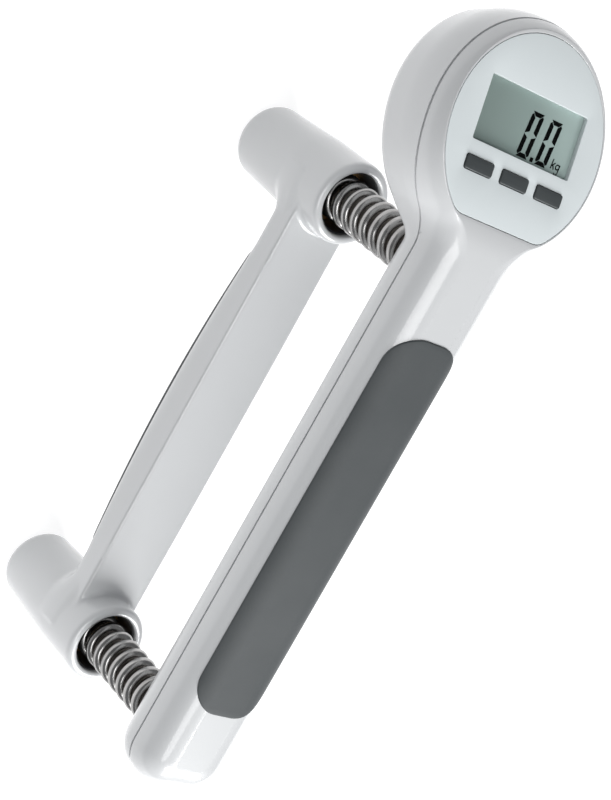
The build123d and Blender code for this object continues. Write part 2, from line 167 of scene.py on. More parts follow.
def rounded_box(width, height, corner, x=0.0, y=0.0, steps=7):
    """A rounded rectangle, anticlockwise."""
    across, up = width / 2 - corner, height / 2 - corner
    quarters = [
        arc(x + across, y - up, corner, -90, 0, steps),
        arc(x + across, y + up, corner, 0, 90, steps),
        arc(x - across, y + up, corner, 90, 180, steps),
        arc(x - across, y - up, corner, 180, 270, steps),
    ]
    return np.concatenate(quarters)


def circle(radius, x=0.0, y=0.0, steps=40):
    return arc(x, y, radius, 0, 360 - 360 / steps, steps)


def plate_outline(gap):
    """The display plate: a disc cut off by a chord, with rounded corners."""
    radius = PLATE_RADIUS + gap
    corner_y = PLATE_CHORD - gap + PLATE_CORNER
    corner_x = math.sqrt((radius - PLATE_CORNER) ** 2 - (corner_y - PLATE_OFFSET) ** 2)
    tangent = math.degrees(math.atan2(corner_y - PLATE_OFFSET, corner_x))
    return np.concatenate([
        arc(corner_x, corner_y, PLATE_CORNER, -90, tangent, 9)[:-1],
        arc(0, PLATE_OFFSET, radius, tangent, 180 - tangent, 120),
        arc(-corner_x, corner_y, PLATE_CORNER, 180 - tangent, 270, 9)[1:],
    ])


def offset(loop, distance):
    """An anticlockwise loop moved outwards, with mitred corners."""
    along = np.roll(loop, -1, 0) - loop
    along /= np.linalg.norm(along, axis=1, keepdims=True)
    normal = np.stack([along[:, 1], -along[:, 0]], 1)
    before = np.roll(normal, 1, 0)
    mitre = (normal + before) / (1 + (normal * before).sum(1, keepdims=True))
    return loop + distance * mitre


def inside(points, loop):
    """Which points lie inside a closed loop."""
    x, y = points[:, :1], points[:, 1:2]
    x0, y0 = loop.T
    x1, y1 = np.roll(loop, -1, 0).T
    rise = np.where(y1 == y0, 1.0, y1 - y0)
    crossed = ((y0 > y) != (y1 > y)) & (x < (x1 - x0) * (y - y0) / rise + x0)
    return crossed.sum(1) % 2 == 1


def lattice(low, high, step_x, step_y):
    """Points on a staggered grid, for the inside of a curved patch."""
    rows = np.arange(low[1], high[1] + step_y / 2, step_y)
    points = []
    for number, y in enumerate(rows):
        shift = step_x / 2 * (number % 2)
        x = np.arange(low[0] + shift, high[0] + step_x / 2, step_x)
        points.append(np.stack([x, np.full(len(x), y)], 1))
    return np.concatenate(points)


# ---- Mesh building -----------------------------------------------------------------
class Form:
    """The points and faces of one piece, gathered ring by ring."""

    def __init__(self):
        self.points = []
        self.faces = []
        self.total = 0

    def add(self, points):
        start = self.total
        self.points.append(np.asarray(points, float))
        self.total += len(points)
        return np.arange(start, self.total)

    def bridge(self, first, second):
        """Quads between two closed rings of the same length."""
        quads = [first, np.roll(first, -1), np.roll(second, -1), second]
        self.faces += np.stack(quads, 1).tolist()

    def rings(self, rows):
        """Closed rings joined one after another. Gives the first and the last."""
        made = [self.add(row) for row in rows]
        for first, second in zip(made, made[1:]):
            self.bridge(first, second)
        return made[0], made[-1]

    def fill(self, loops, place, extra=None):
        """Triangles inside the first loop and outside the others. A loop is a pair of
        its ring and its flat points; extra flat points are put in space by place."""
        flat = np.concatenate([loop[1] for loop in loops])
        index = np.concatenate([loop[0] for loop in loops])
        edges = []
        start = 0
        for _, outline in loops:
            count = len(outline)
            edges += [(start + i, start + (i + 1) % count) for i in range(count)]
            start += count
        if extra is not None and len(extra):
            keep = inside(extra, loops[0][1])
            for _, outline in loops[1:]:
                keep &= ~inside(extra, outline)
            for point in flat:
                keep &= np.abs(extra - point).max(1) > 0.45
            extra = extra[keep]
            index = np.concatenate([index, self.add(place(extra))])
            flat = np.concatenate([flat, extra])
        made = delaunay_2d_cdt([Vector(p) for p in flat], edges, [], 1, 1e-7, True)
        corners = np.array([list(v) for v in made[0]])
        original = [ids[0] for ids in made[3]]
        triangles = np.array([f for f in made[2]])
        middle = corners[triangles].mean(1)
        keep = inside(middle, loops[0][1])
        for _, outline in loops[1:]:
            keep &= ~inside(middle, outline)
        for triangle in triangles[keep]:
            self.faces.append([int(index[original[i]]) for i in triangle])


def face_outwards(mesh):
    """Points every face outwards."""
    tidy = bmesh.new()
    tidy.from_mesh(mesh)
    bmesh.ops.recalc_face_normals(tidy, faces=tidy.faces)
    tidy.to_mesh(mesh)
    tidy.free()
    return mesh


def link(name, mesh, material, body, replaced=(), sharp=32.0):
    """Turns a mesh into a piece that rides on a body."""
    face_outwards(mesh)
    mesh.shade_smooth()
    mesh.set_sharp_from_angle(angle=math.radians(sharp))
    piece = bpy.data.objects.new(name, mesh)
    bpy.context.scene.collection.objects.link(piece)
    mesh.materials.clear()
    mesh.materials.append(material)
    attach(piece, body)
    if replaced:
        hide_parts(*replaced)
    return piece


def mesh_of(name, form):
    mesh = bpy.data.meshes.new(name)
    points = np.concatenate(form.points) * MM
    mesh.from_pydata(points.tolist(), [], form.faces)
    mesh.update()
    return mesh


def on_face(flat, height):
    """Points given across and up the display, at a height above its face."""
    flat = np.asarray(flat, float)
    height = np.broadcast_to(height, len(flat))
    sin, cos = math.sin(HEAD_TILT), math.cos(HEAD_TILT)
    y = HEAD_Y + flat[:, 1] * cos + height * sin
    z = HEAD_Z - flat[:, 1] * sin + height * cos
    return np.stack([flat[:, 0], y, z], 1)


def quarter(radius, steps=4):
    """Pairs of (set back, drop) round a rounded edge, from its side to its top."""
    for angle in np.radians(np.linspace(0, 90, steps + 1)):
        yield radius * (1 - math.cos(angle)), radius * (1 - math.sin(angle))


def plate(outline, holes, base, top, edge, pockets=(), pocket=0.0):
    """A flat plate on the display face from base to top, its outer edges rounded.
    Holes go through it, and pockets are sunk into its top."""
    form = Form()
    out = 1.0 if top > base else -1.0
    tops, bases = [], []
    for number, loop in enumerate([outline, *holes]):
        inward = -1.0 if number == 0 else 1.0
        rows = [on_face(loop, base)]
        for back, drop in quarter(edge):
            rows.append(on_face(offset(loop, inward * back), top - out * drop))
        first, last = form.rings(rows)
        bases.append((first, loop))
        tops.append((last, offset(loop, inward * edge)))
    for loop in pockets:
        rim, floor = form.rings([on_face(loop, top), on_face(loop, top - out * pocket)])
        tops.append((rim, loop))
        form.fill([(floor, loop)], lambda flat: on_face(flat, top))
    form.fill(tops, lambda flat: on_face(flat, top))
    form.fill(bases, lambda flat: on_face(flat, base))
    return form


# ---- Materials ---------------------------------------------------------------------
class Finish:
    """A procedural material: a principled shader with a few helper nodes."""

    def __init__(self, name, **sockets):
        self.material = bpy.data.materials.new(name)
        self.material.use_nodes = True
        self.tree = self.material.node_tree
        self.shader = self.tree.nodes["Principled BSDF"]
        self.place = self.node("ShaderNodeTexCoord").outputs["Object"]
        for socket, value in sockets.items():
            self.shader.inputs[socket.replace("_", " ")].default_value = value

    def node(self, kind, **values):
        node = self.tree.nodes.new(kind)
        for key, value in values.items():
            setattr(node, key, value)
        return node

    def join(self, source, target):
        self.tree.links.new(source, target)

    def noise(self, scale, detail=3.0, rough=0.5, stretch=None):
        node = self.node("ShaderNodeTexNoise")
        node.inputs["Scale"].default_value = scale
        node.inputs["Detail"].default_value = detail
        node.inputs["Roughness"].default_value = rough
        source = self.place
        if stretch:
            mapping = self.node("ShaderNodeMapping")
            mapping.inputs["Scale"].default_value = stretch
            self.join(source, mapping.inputs["Vector"])
            source = mapping.outputs["Vector"]
        self.join(source, node.inputs["Vector"])
        return node.outputs["Fac"]

    def ramp(self, source, stops):
        """A colour ramp: stops are (position, colour)."""
        node = self.node("ShaderNodeValToRGB")
        while len(node.color_ramp.elements) < len(stops):
            node.color_ramp.elements.new(0.5)
        for element, (position, colour) in zip(node.color_ramp.elements, stops):
            element.position = position
            element.color = (*colour, 1.0)
        self.join(source, node.inputs["Fac"])
        return node.outputs["Color"]

    def colour(self, source):
        self.join(source, self.shader.inputs["Base Color"])

    def roughness(self, source, low, high):
        node = self.node("ShaderNodeMapRange")
        node.inputs["To Min"].default_value = low
        node.inputs["To Max"].default_value = high
        self.join(source, node.inputs["Value"])
        self.join(node.outputs["Result"], self.shader.inputs["Roughness"])

    def bump(self, source, strength, distance):
        node = self.node("ShaderNodeBump")
        node.inputs["Strength"].default_value = strength
        node.inputs["Distance"].default_value = distance * MM
        self.join(source, node.inputs["Height"])
        self.join(node.outputs["Normal"], self.shader.inputs["Normal"])


def grey(value, blue=0.0):
    return (value * (1 - blue), value, value * (1 + blue))


def moulded(name, dark, light, roughness, grain, depth, **sockets):
    """Moulded plastic or rubber: slight colour drift, a fine grain and uneven gloss."""
    finish = Finish(name, **sockets)
    finish.colour(finish.ramp(finish.noise(45, 4), [(0.3, dark), (0.7, light)]))
    finish.roughness(finish.noise(160, 3), roughness - 0.03, roughness + 0.03)
    finish.bump(finish.noise(grain, 4, 0.6), 0.35, depth)
    return finish.material


def metal(name, dark, light, roughness, stretch=(1, 1, 1), grain=900, depth=0.01):
    """Worked metal with fine marks drawn out along one direction."""
    finish = Finish(name, Metallic=1.0)
    marks = finish.noise(grain, 5, 0.6, stretch)
    finish.colour(finish.ramp(marks, [(0.25, dark), (0.75, light)]))
    finish.roughness(marks, roughness * 0.8, roughness * 1.3)
    finish.bump(marks, 0.3, depth)
    return finish.material


WHITE = moulded(
    "white_plastic", (0.572, 0.582, 0.59), (0.588, 0.598, 0.606), 0.32, 2600, 0.0008,
    Coat_Weight=0.7, Coat_Roughness=0.09,
)
PLATE = moulded(
    "plate_film", (0.69, 0.74, 0.75), (0.71, 0.76, 0.77), 0.34, 2600, 0.0008,
    Coat_Weight=0.3, Coat_Roughness=0.2,
)
GRIP_RUBBER = moulded(
    "grip_rubber", (0.038, 0.045, 0.048), (0.049, 0.056, 0.059), 0.62, 2600, 0.05,
    Sheen_Weight=0.15, Sheen_Roughness=0.5,
)
BUTTON_RUBBER = moulded(
    "button_rubber", (0.040, 0.047, 0.049), (0.050, 0.058, 0.060), 0.55, 2200, 0.02,
)
BLACK = moulded("black_plastic", (0.020, 0.021, 0.023), (0.03, 0.031, 0.033), 0.45, 1500, 0.02)
BEZEL = moulded("display_bezel", (0.16, 0.17, 0.17), (0.19, 0.20, 0.20), 0.5, 1500, 0.01)
INK = moulded(
    "display_ink", (0.0015, 0.002, 0.002), (0.0025, 0.003, 0.003), 0.6, 800, 0.002,
    Specular_IOR_Level=0.0,
)
CHROME = metal("chrome", (0.29, 0.285, 0.28), (0.44, 0.435, 0.43), 0.23, grain=300, depth=0.004)
STEEL = metal("steel", (0.16, 0.155, 0.15), (0.24, 0.235, 0.23), 0.35, (1, 1, 6))
ROD = metal("guide_rod", (0.42, 0.38, 0.34), (0.58, 0.54, 0.50), 0.28, (1, 1, 6))
ALUMINIUM = metal("aluminium", (0.62, 0.63, 0.64), (0.72, 0.73, 0.74), 0.32, (1, 12, 1))
BRONZE = metal("bronze", (0.36, 0.22, 0.10), (0.50, 0.32, 0.15), 0.35)
CONTACT = metal("contact_metal", (0.62, 0.61, 0.57), (0.72, 0.71, 0.67), 0.25)
JACKET = moulded("cell_jacket", (0.05, 0.055, 0.07), (0.08, 0.085, 0.10), 0.3, 600, 0.004)
WIRE_JACKET = moulded("wire_jacket", (0.06, 0.06, 0.065), (0.09, 0.09, 0.095), 0.5, 900, 0.01)


def board_material():
    """Solder mask with paler copper runs showing through."""
    finish = Finish("board", Roughness=0.35, Coat_Weight=0.3)
    cells = finish.node("ShaderNodeTexVoronoi", feature="DISTANCE_TO_EDGE", distance="EUCLIDEAN")
    cells.inputs["Scale"].default_value = 420
    finish.join(finish.place, cells.inputs["Vector"])
    runs = [(0.02, (0.05, 0.16, 0.08)), (0.06, (0.015, 0.075, 0.04))]
    finish.colour(finish.ramp(cells.outputs["Distance"], runs))
    return finish.material


def window_material():
    """Clear acrylic over the display."""
    finish = Finish("window", Alpha=0.05, Roughness=0.08, IOR=1.12)
    tint = [(0.4, (0.02, 0.022, 0.022)), (0.6, (0.03, 0.032, 0.032))]
    finish.colour(finish.ramp(finish.noise(60, 2), tint))
    finish.bump(finish.noise(120, 2), 0.05, 0.01)
    return finish.material


def panel_material():
    """Reflective display glass: grey green, with painted light making it paler towards the lower right.
    """
    finish = Finish("display", Roughness=0.35)
    # Painted light: a ramp across the panel makes it paler towards the lower right, with a little random
    # tone drift from the noise on top.
    split = finish.node("ShaderNodeSeparateXYZ")
    finish.join(finish.place, split.inputs["Vector"])
    painted_light_across = finish.node("ShaderNodeMapRange")
    painted_light_across.inputs["From Min"].default_value = -0.018
    painted_light_across.inputs["From Max"].default_value = 0.019
    finish.join(split.outputs["X"], painted_light_across.inputs["Value"])
    blur = finish.node("ShaderNodeMath", operation="MULTIPLY_ADD")
    blur.inputs[1].default_value = 0.12
    finish.join(finish.noise(90, 3), blur.inputs[0])
    finish.join(painted_light_across.outputs["Result"], blur.inputs[2])
    tones = [(0.0, (0.22, 0.28, 0.26)), (0.55, (0.32, 0.41, 0.385)), (1.0, (0.47, 0.59, 0.56))]
    finish.colour(finish.ramp(blur.outputs["Value"], tones))
    finish.bump(finish.noise(3000, 2), 0.1, 0.004)
    return finish.material


BOARD = board_material()
WINDOW = window_material()
PANEL = panel_material()


# ---- Casing: one bent slab, parted along the seam ----------------------------------
CORNER_AT_BEND = HEAD_Y - (FRONT_Z - HEAD_Z) / math.tan(HEAD_TILT)
BEND_RUN = BEND_RADIUS * math.tan(HEAD_TILT / 2)
BEND_START = CORNER_AT_BEND - BEND_RUN
BEND_END = BEND_START + BEND_RADIUS * HEAD_TILT
HEAD_S = BEND_END + (FRONT_Z - HEAD_Z) / math.sin(HEAD_TILT) - BEND_RUN


def blend_in(value, start, end):
    share = np.clip((value - start) / (end - start), 0, 1)
    return share * share * (3 - 2 * share)


def bend(flat, depth):
    """Puts points of the flattened slab (across, along, depth below the front) in space.
    The front line turns tightly, and the depth turns over a longer stretch, so that the
    rear doesn't fold."""
    x, s = flat[:, 0], flat[:, 1]
    turn = np.clip((s - BEND_START) / BEND_RADIUS, 0, HEAD_TILT)
    ahead = np.maximum(s - BEND_END, 0) + np.minimum(s - BEND_START, 0)
    lean_back = HEAD_TILT * blend_in(s, BEND_START - 16.0, HEAD_S - 23.0)
    y = BEND_START + BEND_RADIUS * np.sin(turn) + ahead * np.cos(turn)
    z = FRONT_Z - BEND_RADIUS * (1 - np.cos(turn)) - ahead * np.sin(turn)
    return np.stack([x, y - depth * np.sin(lean_back), z - depth * np.cos(lean_back)], 1)


def casing_outline():
    """The slab's outline and its outward normals, anticlockwise from the grip's end."""
    half = GRIP_HALF_WIDTH
    fillet_x = half + NECK_FILLET
    reach = HEAD_RADIUS + NECK_FILLET
    fillet_s = HEAD_S - math.sqrt(reach ** 2 - fillet_x ** 2)
    turn = math.degrees(math.atan2(HEAD_S - fillet_s, -fillet_x))
    corner = GRIP_PLAN_CORNER
    end = GRIP_END + corner
    side = np.linspace(end, fillet_s, 78)[1:-1]
    flat_end = np.linspace(0, half - corner, 4)[:-1]
    right = [
        np.stack([flat_end, np.full(3, GRIP_END)], 1),
        arc(half - corner, end, corner, -90, 0, 16),
        np.stack([np.full(76, half), side], 1),
        arc(fillet_x, fillet_s, NECK_FILLET, 180, turn, 20),
        arc(0, HEAD_S, HEAD_RADIUS, turn - 180, 90, 95)[1:],
    ]
    normals = [
        np.tile([0.0, -1.0], (3, 1)),
        arc(0, 0, 1, -90, 0, 16),
        np.tile([1.0, 0.0], (76, 1)),
        -arc(0, 0, 1, 180, turn, 20),
        arc(0, 0, 1, turn - 180, 90, 95)[1:],
    ]
    flat, normal = np.concatenate(right), np.concatenate(normals)
    mirror = np.array([-1.0, 1.0])
    flat = np.concatenate([flat, flat[-2:0:-1] * mirror])
    normal = np.concatenate([normal, normal[-2:0:-1] * mirror])
    return flat, normal


def head_share(s):
    """0 along the grip and 1 over the head, turning smoothly in the neck."""
    return blend_in(s, BEND_START - 5.0, HEAD_S - 24.0)


OUTLINE, OUTWARD = casing_outline()
HEAD_SHARE = head_share(OUTLINE[:, 1])


def between(grip, head):
    return grip + (head - grip) * HEAD_SHARE


def front_inset():
    """The front rounding narrows where the plate comes near the neck's corners."""
    from_plate = np.linalg.norm(OUTLINE - [0, HEAD_S + PLATE_OFFSET], axis=1)
    room = from_plate - PLATE_RADIUS - PLATE_GAP - OPENING_EDGE - 0.2
    ease = 0.2
    narrow = -ease * np.logaddexp(-HEAD_FRONT_INSET / ease, -room / ease)
    return between(GRIP_ROUNDING, narrow)


FRONT_INSET = front_inset()


def side_profile(q, wall):
    """Set back and depth at q along the slab's edge: 0 to 1 is the front rounding, 1 to 2
    the side and 2 to 3 the rear rounding. The inner skin lies a wall's thickness inside."""
    least = 0.3
    inset = np.maximum(FRONT_INSET - wall, least)
    drop = between(GRIP_ROUNDING, HEAD_FRONT_DROP) - wall
    rear = np.maximum(between(GRIP_ROUNDING, HEAD_REAR_ROUNDING) - wall, least)
    depth = between(GRIP_DEPTH, HEAD_DEPTH) - 2 * wall
    taper = between(0.0, HEAD_TAPER)
    front = np.clip(q, 0, 1)
    rest = 1 - front
    near = between(ROUND, HEAD_FACE_PULL)
    far = between(ROUND, HEAD_SIDE_PULL)
    middle = np.clip(q - 1, 0, 1)
    back = np.clip(q - 2, 0, 1) * math.pi / 2
    set_back = inset * rest ** 2 * (rest + 3 * front * (1 - near))
    fall = drop * front ** 2 * (front + 3 * rest * (1 - far))
    set_back = set_back + taper * middle + rear * (1 - np.cos(back))
    fall = fall + (depth - rear - drop) * middle + rear * np.sin(back)
    return set_back + wall, fall + wall


def seam_height(y):
    """The parting line is level along the grip, then runs down towards the head's end."""
    past = np.logaddexp(0, (y - SEAM_BEND_Y) / SEAM_EASE)
    return SEAM_Z - SEAM_SLOPE * SEAM_EASE * past


def slab_point(q, wall, sink=0.0):
    """Points at q round the whole outline, sunk below the skin where asked."""
    step = 1e-3
    back, fall = side_profile(q, wall)
    if sink:
        back_a, fall_a = side_profile(q - step, wall)
        back_b, fall_b = side_profile(q + step, wall)
        run = np.hypot(back_b - back_a, fall_b - fall_a)
        back = back + sink * (fall_b - fall_a) / run
        fall = fall - sink * (back_b - back_a) / run
    return bend(OUTLINE - OUTWARD * back[:, None], fall)


def seam_place(wall):
    """Where on its edge each outline point meets the parting line."""
    low, high = np.full(len(OUTLINE), 0.02), np.full(len(OUTLINE), 2.0)
    for _ in range(40):
        middle = (low + high) / 2
        point = slab_point(middle, wall)
        above = point[:, 2] > seam_height(point[:, 1])
        low = np.where(above, middle, low)
        high = np.where(above, high, middle)
    return low


def pace(q, wall):
    """Length along the edge per unit of q."""
    step = 1e-3
    return np.linalg.norm(slab_point(q + step, wall) - slab_point(q - step, wall), axis=1) / (2 * step)


def cap_edge(q, wall):
    """The flat outline of a cover's flat part."""
    back, _ = side_profile(q, wall)
    return OUTLINE - OUTWARD * back[:, None]


def casing_half(front):
    """One cover as a closed shell: outer skin, rounded lip at the seam, inner skin, and
    flat parts with their openings."""
    form = Form()
    toward = -1.0 if front else 1.0
    cap_q = np.full(len(OUTLINE), 0.0 if front else 3.0)
    skins = []
    for wall in (0.0, WALL):
        seam = seam_place(wall)
        unit = pace(seam, wall)
        lip = SEAM_EDGE if wall == 0 else 0.0
        stop = seam + toward * (SEAM_GAP + lip) / unit
        count = 20 if wall == 0 else 10
        rows = [slab_point(cap_q + (stop - cap_q) * (i / count) ** 1.3, wall) for i in range(count + 1)]
        if lip:
            for back, drop in list(quarter(lip))[-2::-1]:
                rows.append(slab_point(stop - toward * (lip - back) / unit, wall, lip - drop))
        skins.append(form.rings(rows))
    form.bridge(skins[0][1], skins[1][1])
    openings = front_openings() if front else rear_openings()
    outer = [(skins[0][0], cap_edge(cap_q, 0.0))]
    inner = [(skins[1][0], cap_edge(cap_q, WALL))]
    for loop in openings:
        rows = []
        for set_back, drop in list(quarter(OPENING_EDGE, 3))[::-1]:
            rows.append(cap_point(offset(loop, set_back), drop, front))
        rows.append(cap_point(loop, WALL, front))
        first, last = form.rings(rows)
        outer.append((first, offset(loop, OPENING_EDGE)))
        inner.append((last, loop))
    fine = lattice((-24, BEND_START - 4), (24, BEND_END + 6), 2.0, 1.2)
    form.fill(outer, lambda flat: cap_point(flat, 0.0, front), fine)
    form.fill(inner, lambda flat: cap_point(flat, WALL, front), fine)
    return form


def cap_point(flat, sink, front):
    """A point on the slab's front or rear flat, sunk towards the inside."""
    depth = np.full(len(flat), sink)
    if not front:
        depth = GRIP_DEPTH + (HEAD_DEPTH - GRIP_DEPTH) * head_share(flat[:, 1]) - sink
    return bend(flat, depth)


def front_openings():
    return [plate_outline(PLATE_GAP) + [0, HEAD_S]]


def rear_openings():
    width, height = DOOR_WIDTH + 2 * DOOR_GAP, DOOR_HEIGHT + 2 * DOOR_GAP
    door = rounded_box(width, height, DOOR_CORNER + 0.2, 0, HEAD_S)
    places = (*GRIP_SCREWS, *[HEAD_S + y for y in HEAD_SCREWS])
    screws = [circle(SCREW_HOLE, 0, place) for place in places]
    return [door, *screws]


def cut(mesh, cutters):
    """The mesh with the cutters' volume taken away."""
    target = bpy.data.objects.new("cut_target", mesh)
    bpy.context.scene.collection.objects.link(target)
    tools = []
    for cutter in cutters:
        tool = bpy.data.objects.new("cut_tool", cutter)
        bpy.context.scene.collection.objects.link(tool)
        modifier = target.modifiers.new("cut", "BOOLEAN")
        modifier.object = tool
        modifier.operation = "DIFFERENCE"
        modifier.solver = "EXACT"
        tools.append(tool)
    bpy.context.view_layer.update()
    graph = bpy.context.evaluated_depsgraph_get()
    result = bpy.data.meshes.new_from_object(target.evaluated_get(graph))
    for helper in (target, *tools):
        bpy.data.objects.remove(helper)
    return result


def rod_mesh(radius, low, high, y, steps=72):
    form = Form()
    loop = circle(radius, 0, y, steps)
    bottom = np.column_stack([loop, np.full(steps, low)])
    top = np.column_stack([loop, np.full(steps, high)])
    first, last = form.rings([bottom, top])
    form.faces.append(first.tolist())
    form.faces.append(last.tolist())
    return face_outwards(mesh_of("rod", form))


def build_casing():
    link("front_cover_skin", mesh_of("front_cover_skin", casing_half(True)), WHITE, "main_grip",
         ["front_cover"])
    rear = face_outwards(mesh_of("rear_half", casing_half(False)))
    holes = [rod_mesh(SPRING_HOLE, *SPRING_HOLE_SPAN, y) for y in SOCKETS.values()]
    link("rear_cover_skin", cut(rear, holes), WHITE, "main_grip", ["rear_cover"])


# ---- Rubber pad on the grip --------------------------------------------------------
def wrap(flat, height):
    """Lays a flat patch (round the grip, along the grip) on the grip's front."""
    height = np.broadcast_to(height, len(flat))
    flat_half = GRIP_HALF_WIDTH - GRIP_ROUNDING
    size = np.abs(flat[:, 0])
    angle = np.maximum(size - flat_half, 0) / GRIP_ROUNDING
    radius = GRIP_ROUNDING + height
    x = np.minimum(size, flat_half) + radius * np.sin(angle)
    z = FRONT_Z - GRIP_ROUNDING + radius * np.cos(angle)
    return np.stack([np.sign(flat[:, 0]) * x, flat[:, 1], z], 1)


def build_grip_pad():
    """A sheet of rubber wrapped over the grip's front, its edge rounded."""
    flat_half = GRIP_HALF_WIDTH - GRIP_ROUNDING
    wrapped = flat_half + GRIP_ROUNDING * math.asin((PAD_HALF_WIDTH - flat_half) / GRIP_ROUNDING)
    length = PAD_TOP - PAD_BOTTOM
    outline = rounded_box(2 * wrapped, length, PAD_CORNER, 0, (PAD_TOP + PAD_BOTTOM) / 2, 20)
    long_side = 60
    form = Form()
    rows = [wrap(outline, -PAD_DEPTH)]
    edge = PAD_PROUD
    for back, drop in quarter(edge, 5):
        rows.append(wrap(offset(outline, -back), PAD_PROUD - drop))
    first, last = form.rings(rows)
    top = offset(outline, -edge)
    extra = lattice((-wrapped, PAD_BOTTOM), (wrapped, PAD_TOP), 1.1, length / long_side)
    form.fill([(last, top)], lambda flat: wrap(flat, PAD_PROUD), extra)
    form.fill([(first, outline)], lambda flat: wrap(flat, -PAD_DEPTH), extra)
    link("grip_pad", mesh_of("grip_pad", form), GRIP_RUBBER, "main_grip",
         ["front_grip_pad"])


# ---- Display plate, buttons, battery door ------------------------------------------
def build_plate():
    window = rounded_box(WINDOW_WIDTH, WINDOW_HEIGHT, 0.5, 0, WINDOW_UP, 4)
    holes = [window]
    for x in (-BUTTON_PITCH, 0, BUTTON_PITCH):
        holes.append(rounded_box(BUTTON_WIDTH + 0.3, BUTTON_HEIGHT + 0.3, 0.75, x, BUTTON_ROW))
    form = plate(plate_outline(0), holes, -PLATE_THICKNESS, 0.0, 0.08)
    link("face_plate_film", mesh_of("face_plate_film", form), PLATE, "main_grip",
         ["face_plate"])


def build_buttons():
    """Rubber keys with a soft edge, a slight crown and a flange behind the plate."""
    for name, x in (("left", -BUTTON_PITCH), ("middle", 0), ("right", BUTTON_PITCH)):
        loop = rounded_box(BUTTON_WIDTH, BUTTON_HEIGHT, 0.6, x, BUTTON_ROW)
        form = Form()
        flange = offset(loop, FLANGE_WIDTH)
        rows = [on_face(flange, FLANGE_BASE), on_face(flange, FLANGE_TOP), on_face(loop, FLANGE_TOP)]
        rim = BUTTON_PROUD - BUTTON_CROWN
        for back, drop in quarter(BUTTON_EDGE):
            rows.append(on_face(offset(loop, -back), rim - drop))
        first, last = form.rings(rows)
        top = offset(loop, -BUTTON_EDGE)

        def crown(flat, x=x):
            across = (flat[:, 0] - x) / (BUTTON_WIDTH / 2 - BUTTON_EDGE)
            up = (flat[:, 1] - BUTTON_ROW) / (BUTTON_HEIGHT / 2 - BUTTON_EDGE)
            lift = BUTTON_CROWN * (1 - across ** 4) * (1 - up ** 4)
            return on_face(flat, rim + lift)

        half = BUTTON_WIDTH / 2
        extra = lattice((x - half, BUTTON_ROW - 2), (x + half, BUTTON_ROW + 2), 0.5, 0.45)
        form.fill([(last, top)], crown, extra)
        form.fill([(first, flange)], lambda flat: on_face(flat, FLANGE_BASE))
        link(f"key_{name}", mesh_of(f"key_{name}", form), BUTTON_RUBBER, f"button_{name}",
             [f"button_{name}"])


def build_door():
    outline = rounded_box(DOOR_WIDTH, DOOR_HEIGHT, DOOR_CORNER)
    ridges = [rounded_box(0.7, 3.4, 0.3, x, 8.5, 4) for x in (-3.0, -1.5, 0.0, 1.5, 3.0)]
    form = plate(outline, [], -HEAD_DEPTH + DOOR_THICKNESS, -HEAD_DEPTH, 0.2, ridges, 0.4)
    link("battery_door_panel", mesh_of("battery_door_panel", form), WHITE, "battery_door",
         ["battery_door"])


# ---- Display figures ---------------------------------------------------------------
DIGIT_HEIGHT = 11.6
DIGIT_WIDTH = 4.25
DIGIT_STROKE = 1.38
DIGIT_LEAN = 0.12
DIGIT_BASE = -4.55
PANEL_TOP = -1.3


def lean(loop, x):
    """Moves a figure to its place and slants it."""
    moved = loop.copy()
    moved[:, 0] += x + DIGIT_LEAN * loop[:, 1]
    moved[:, 1] += DIGIT_BASE
    return moved


def zero_bars():
    """The six bars of a nought, with mitred ends."""
    stroke, gap = DIGIT_STROKE, 0.07
    middle = DIGIT_HEIGHT / 2
    half = DIGIT_WIDTH / 2
    side = np.array([
        (half, gap), (half, middle - 0.7 * stroke), (half - 0.35 * stroke, middle - 0.35 * stroke - gap),
        (half - stroke, middle - stroke - gap), (half - stroke, gap + 0.5 * stroke),
    ])
    reach, thick = half - 2 * gap, 0.8 * stroke
    inner = reach - thick
    cap = np.array([
        (-inner, middle - thick), (inner, middle - thick), (reach, middle), (-reach, middle),
    ])
    bars = []
    for flip_y in (1, -1):
        bars.append(cap * [1, flip_y])
        bars += [side * [flip_x, flip_y] for flip_x in (1, -1)]
    return [bar + [half, middle] for bar in bars]


def pen(points, width):
    """The outline of a line of the given width drawn through the points."""
    points = np.asarray(points, float)
    along = np.gradient(points, axis=0)
    along /= np.linalg.norm(along, axis=1, keepdims=True)
    side = np.stack([along[:, 1], -along[:, 0]], 1) * width / 2
    return np.concatenate([points + side, (points - side)[::-1]])


def unit_marks():
    """A small kilogram sign."""
    width = 0.34
    k = [[(0.2, 0), (0.2, 2.5)], [(0.3, 0.75), (1.25, 1.7)], [(0.6, 1.1), (1.3, 0)]]
    g = [arc(2.35, 0.9, 0.6, 20, 340, 14), [(3.0, 1.6), (3.0, -0.5)], arc(2.4, -0.5, 0.6, -10, -160, 8)]
    return [pen(line, width) for line in k + g]


def build_figures():
    """Two figures, a point and a unit, printed in the display's upper layer."""
    form = Form()
    loops = [lean(mark, 11.3) + [0, 0.6] for mark in unit_marks()]
    for x in (-1.2, 5.6):
        loops += [lean(bar, x) for bar in zero_bars()]
    loops.append(lean(rounded_box(1.1, 1.1, 0.15, 0.55, 0.55, 3), 3.9))
    for loop in loops:
        low, high = on_face(loop, PANEL_TOP - 0.02), on_face(loop, PANEL_TOP + 0.04)
        first, last = form.rings([low, high])
        form.faces.append(last.tolist())
        form.faces.append(first.tolist())
    link("display_figures", mesh_of("display_figures", form), INK, "main_grip", ())


# ---- Pull bar ----------------------------------------------------------------------
def round_max(a, b, radius):
    """The larger of two distances, so two solids' common part, with a rounded edge."""
    out = np.hypot(np.maximum(a + radius, 0), np.maximum(b + radius, 0))
    return np.minimum(-radius, np.maximum(a, b)) + out


def socket_field(x, y, z, centre):
    radius = REAR_RADIUS + (MOUTH_RADIUS - REAR_RADIUS) * np.clip(z / TAPER_TOP, 0, 1)
    wall = np.hypot(x, y - centre) - radius
    return round_max(round_max(wall, z - SOCKET_TOP, 1.7), -z, 3.0)


